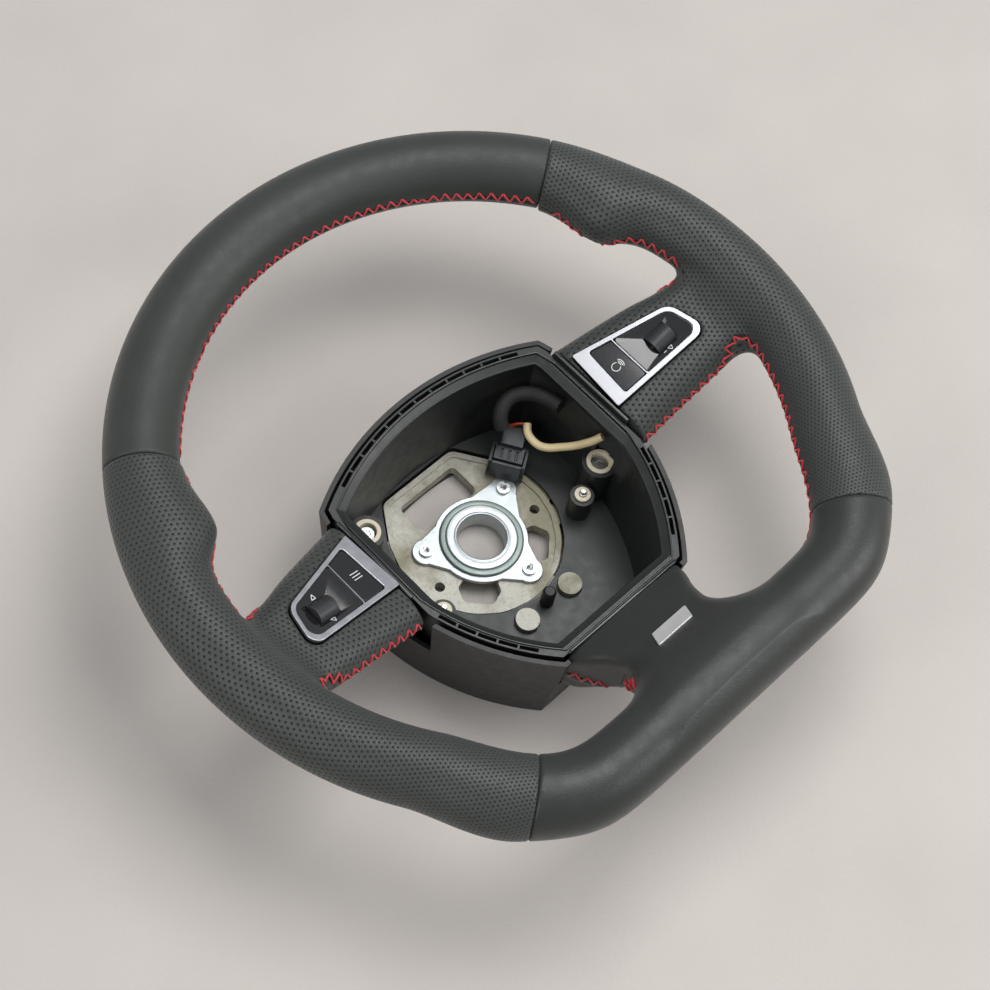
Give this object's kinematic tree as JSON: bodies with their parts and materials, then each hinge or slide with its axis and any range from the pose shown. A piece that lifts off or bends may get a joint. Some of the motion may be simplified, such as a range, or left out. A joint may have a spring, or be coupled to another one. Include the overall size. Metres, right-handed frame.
{
  "type": "steering wheel",
  "caption": "Flat-bottomed leather steering wheel with three spokes, open airbag well, bolted hub flange and thumb switches on both side spokes.",
  "frame": {"origin": "on the steering axis, at the rear face of the hub bore", "axes": "+Z along the steering axis towards the driver, +Y to twelve o'clock, +X to three o'clock as the driver sees it"},
  "size_m": [0.3748, 0.362, 0.1183],
  "materials": {
    "cast_alloy": "raw die-cast, dull",
    "bright_steel": "bright plated with a satin ring",
    "screw_steel": "zinc plated",
    "pin_metal": "bright",
    "foam": "moulded foam",
    "smooth_leather": "smooth, fine grain, satin",
    "perforated_leather": "perforated, matt",
    "black_leather": "smooth, fine grain, satin",
    "well_plastic": "moulded, satin",
    "cover_plastic": "fine moulded texture",
    "gloss_trim": "high gloss",
    "cream_plastic": "satin",
    "black_rubber": "satin",
    "connector_plastic": "satin",
    "red_plastic": "satin",
    "lead_cream": "satin",
    "harness_sleeve": "woven sleeve, matt",
    "switch_plastic": "satin",
    "silver_trim": "satin silver",
    "gloss_black": "high gloss",
    "roller_plastic": "satin, ribbed",
    "board_green": "lacquered board",
    "dome_rubber": "translucent, matt"
  },
  "bodies": {
    "root": {"armature": "cast_alloy", "rim_ring": "cast_alloy", "hub_flange": "bright_steel", "flange_screws": "screw_steel", "rim_foam": "foam", "leather_top": "smooth_leather", "leather_left_grip": "perforated_leather", "leather_right_grip": "perforated_leather", "leather_bottom": "black_leather", "left_spoke_leather": "perforated_leather", "right_spoke_leather": "perforated_leather", "bottom_spoke_leather": "black_leather", "airbag_well": "well_plastic", "rear_cover": "cover_plastic", "cover_screws": "screw_steel", "left_edge_trim": "gloss_trim", "right_edge_trim": "gloss_trim", "airbag_bushes": "cream_plastic", "airbag_bolts": "screw_steel", "contact_pins": "pin_metal", "pin_insulators": "cream_plastic", "rubber_post": "black_rubber", "connector_holder": "connector_plastic", "connector_plug": "connector_plastic", "connector_latch": "red_plastic", "airbag_lead": "lead_cream", "switch_harness": "harness_sleeve", "left_switch_housing": "switch_plastic", "right_switch_housing": "switch_plastic", "left_bezel": "silver_trim", "right_bezel": "silver_trim", "left_panel": "gloss_black", "right_panel": "gloss_black", "left_switch_board": "board_green", "right_switch_board": "board_green", "left_switch_dome": "dome_rubber", "right_switch_dome": "dome_rubber", "badge": "silver_trim"},
    "left_button": {"left_menu_button": "gloss_black"},
    "right_button": {"right_voice_button": "gloss_black"},
    "left_carrier": {"left_roller_carrier": "switch_plastic", "left_roller_pin": "pin_metal"},
    "right_carrier": {"right_roller_carrier": "switch_plastic", "right_roller_pin": "pin_metal"},
    "left_thumb_roller": {"left_roller": "roller_plastic"},
    "right_thumb_roller": {"right_roller": "roller_plastic"}
  },
  "joints": [
    {"name": "left_button_press", "type": "slide", "parent": "root", "child": "left_button", "axis": [-0.3007, 0, -0.9537], "range_m": [0, 0.0008], "stiffness_N_per_m": 1500, "springref_m": -0.0002},
    {"name": "right_button_press", "type": "slide", "parent": "root", "child": "right_button", "axis": [0.3007, 0, -0.9537], "range_m": [0, 0.0008], "stiffness_N_per_m": 1500, "springref_m": -0.0002},
    {"name": "left_roller_press", "type": "slide", "parent": "root", "child": "left_carrier", "axis": [-0.3007, 0, -0.9537], "range_m": [0, 0.0006], "stiffness_N_per_m": 1800, "springref_m": -0.0002},
    {"name": "right_roller_press", "type": "slide", "parent": "root", "child": "right_carrier", "axis": [0.3007, 0, -0.9537], "range_m": [0, 0.0006], "stiffness_N_per_m": 1800, "springref_m": -0.0002},
    {"name": "left_roller_spin", "type": "hinge", "parent": "left_carrier", "child": "left_thumb_roller", "pos_m": [-0.11666, -0.0001, 0.08571], "axis": [-0.9537, 0, 0.3007], "continuous": true},
    {"name": "right_roller_spin", "type": "hinge", "parent": "right_carrier", "child": "right_thumb_roller", "pos_m": [0.11666, -0.0001, 0.08571], "axis": [0.9537, 0, 0.3007], "continuous": true}
  ]
}
